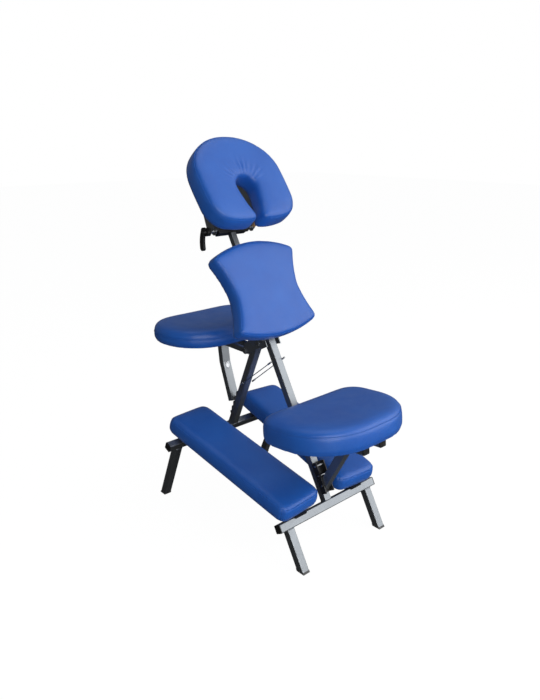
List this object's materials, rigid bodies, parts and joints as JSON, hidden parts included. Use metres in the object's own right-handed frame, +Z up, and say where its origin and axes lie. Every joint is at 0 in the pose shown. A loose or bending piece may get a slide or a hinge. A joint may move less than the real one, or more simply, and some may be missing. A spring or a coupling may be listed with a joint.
{
  "type": "kneeling massage chair",
  "caption": "Folding kneeling massage chair: padded face cradle, chest pad, armrest, seat and knee pads on a crossed square-tube frame",
  "frame": {"origin": "on the floor in the chair's middle plane, halfway along its depth", "axes": "+Z up, +Y the way the seated client faces, towards the armrest, +X to the client's right"},
  "size_m": [0.534, 0.8476, 1.1789],
  "materials": {
    "frame_paint": "satin",
    "black_steel": "satin",
    "bright_steel": "satin",
    "upholstery": "gloss",
    "plywood": "matte",
    "black_plastic": "matte"
  },
  "bodies": {
    "rear_frame": {"spine_tube": "frame_paint", "rear_crossbar": "frame_paint", "rear_leg_left": "frame_paint", "rear_leg_right": "frame_paint", "rear_foot_tips": "black_plastic", "rear_crossbar_caps": "black_plastic", "apex_plates": "frame_paint", "apex_bolts": "bright_steel", "apex_spacers": "bright_steel", "seat_pivot_bolt": "bright_steel", "seat_pivot_bushes": "bright_steel", "seat_rack": "black_steel", "seat_rack_pins": "bright_steel", "spine_collar": "black_plastic", "tension_cable_left": "bright_steel", "tension_cable_right": "bright_steel"},
    "front_frame": {"front_tube": "frame_paint", "front_crossbar": "frame_paint", "front_leg_left": "frame_paint", "front_leg_right": "frame_paint", "front_foot_tips": "black_plastic", "front_crossbar_caps": "black_plastic", "front_lugs": "frame_paint", "armrest_rack": "black_steel"},
    "armrest": {"armrest_pad": "upholstery", "armrest_board": "plywood", "armrest_rail_left": "frame_paint", "armrest_rail_right": "frame_paint", "armrest_strut_pin": "bright_steel"},
    "armrest_strut": {"armrest_strut": "frame_paint"},
    "seat": {"seat_pad": "upholstery", "seat_board": "plywood", "seat_rail_left": "frame_paint", "seat_rail_right": "frame_paint", "seat_rail_caps": "black_plastic", "seat_strut_pin": "bright_steel"},
    "seat_strut": {"seat_strut": "frame_paint"},
    "chest_rest": {"chest_pad": "upholstery", "chest_board": "plywood", "chest_sleeve": "frame_paint"},
    "chest_knob": {"chest_knob": "black_plastic"},
    "neck": {"neck_post": "frame_paint", "neck_head": "black_plastic", "cradle_rod": "bright_steel"},
    "neck_knob": {"neck_knob": "black_plastic"},
    "face_rest": {"face_cushion": "upholstery", "face_platform": "plywood", "cradle_arm_left": "bright_steel", "cradle_arm_right": "bright_steel"},
    "cam_lever": {"cam_lever": "black_plastic"},
    "knee_rest_left": {"knee_pad_left": "upholstery", "knee_board_left": "plywood", "knee_hinge_left": "black_plastic", "knee_saddle_left": "black_plastic"},
    "knee_rest_right": {"knee_pad_right": "upholstery", "knee_board_right": "plywood", "knee_hinge_right": "black_plastic", "knee_saddle_right": "black_plastic"}
  },
  "joints": [
    {"name": "frame_fold", "type": "hinge", "parent": "rear_frame", "child": "front_frame", "pos_m": [0, 0.04377, 0.565], "axis": [-1, 0, 0], "range_deg": [0, 40], "deforming": ["tension_cable_left", "tension_cable_right"]},
    {"name": "knee_left_swing", "type": "hinge", "parent": "rear_frame", "child": "knee_rest_left", "pos_m": [-0.12, -0.24252, 0.119], "axis": [1, 0, 0], "range_deg": [0, 8]},
    {"name": "knee_right_swing", "type": "hinge", "parent": "rear_frame", "child": "knee_rest_right", "pos_m": [0.12, -0.24252, 0.119], "axis": [1, 0, 0], "range_deg": [0, 8]},
    {"name": "armrest_fold", "type": "hinge", "parent": "rear_frame", "child": "armrest", "pos_m": [0, 0.10877, 0.526], "axis": [-1, 0, 0], "range_deg": [0, 45]},
    {"name": "armrest_strut_swing", "type": "hinge", "parent": "armrest", "child": "armrest_strut", "pos_m": [0, 0.26277, 0.523], "axis": [1, 0, 0], "range_deg": [0, 90]},
    {"name": "seat_fold", "type": "hinge", "parent": "rear_frame", "child": "seat", "pos_m": [0, -0.11143, 0.34606], "axis": [1, 0, 0], "range_deg": [0, 45]},
    {"name": "seat_strut_swing", "type": "hinge", "parent": "seat", "child": "seat_strut", "pos_m": [0, -0.32638, 0.36733], "axis": [-1, 0, 0], "range_deg": [0, 117]},
    {"name": "chest_slide", "type": "slide", "parent": "rear_frame", "child": "chest_rest", "axis": [0, 0.5, 0.866], "range_m": [-0.03, 0.01]},
    {"name": "chest_knob_turn", "type": "hinge", "parent": "chest_rest", "child": "chest_knob", "pos_m": [0, 0.09609, 0.6655], "axis": [0, 0.866, -0.5], "continuous": true},
    {"name": "neck_slide", "type": "slide", "parent": "rear_frame", "child": "neck", "axis": [0, 0.5, 0.866], "range_m": [-0.03, 0.05]},
    {"name": "neck_knob_turn", "type": "hinge", "parent": "rear_frame", "child": "neck_knob", "pos_m": [0, 0.14109, 0.74344], "axis": [0, 0.866, -0.5], "continuous": true},
    {"name": "face_tilt", "type": "hinge", "parent": "neck", "child": "face_rest", "pos_m": [0, 0.20677, 0.8972], "axis": [1, 0, 0], "range_deg": [-20, 15]},
    {"name": "cam_lever_turn", "type": "hinge", "parent": "neck", "child": "cam_lever", "pos_m": [-0.097, 0.20677, 0.8972], "axis": [1, 0, 0], "range_deg": [-60, 0]}
  ],
  "couplings": [
    {"joint": "knee_left_swing", "follows": "frame_fold", "ratio": 0.2},
    {"joint": "knee_right_swing", "follows": "frame_fold", "ratio": 0.2},
    {"joint": "armrest_strut_swing", "follows": "armrest_fold", "ratio": 2},
    {"joint": "seat_strut_swing", "follows": "seat_fold", "ratio": 2.6}
  ]
}
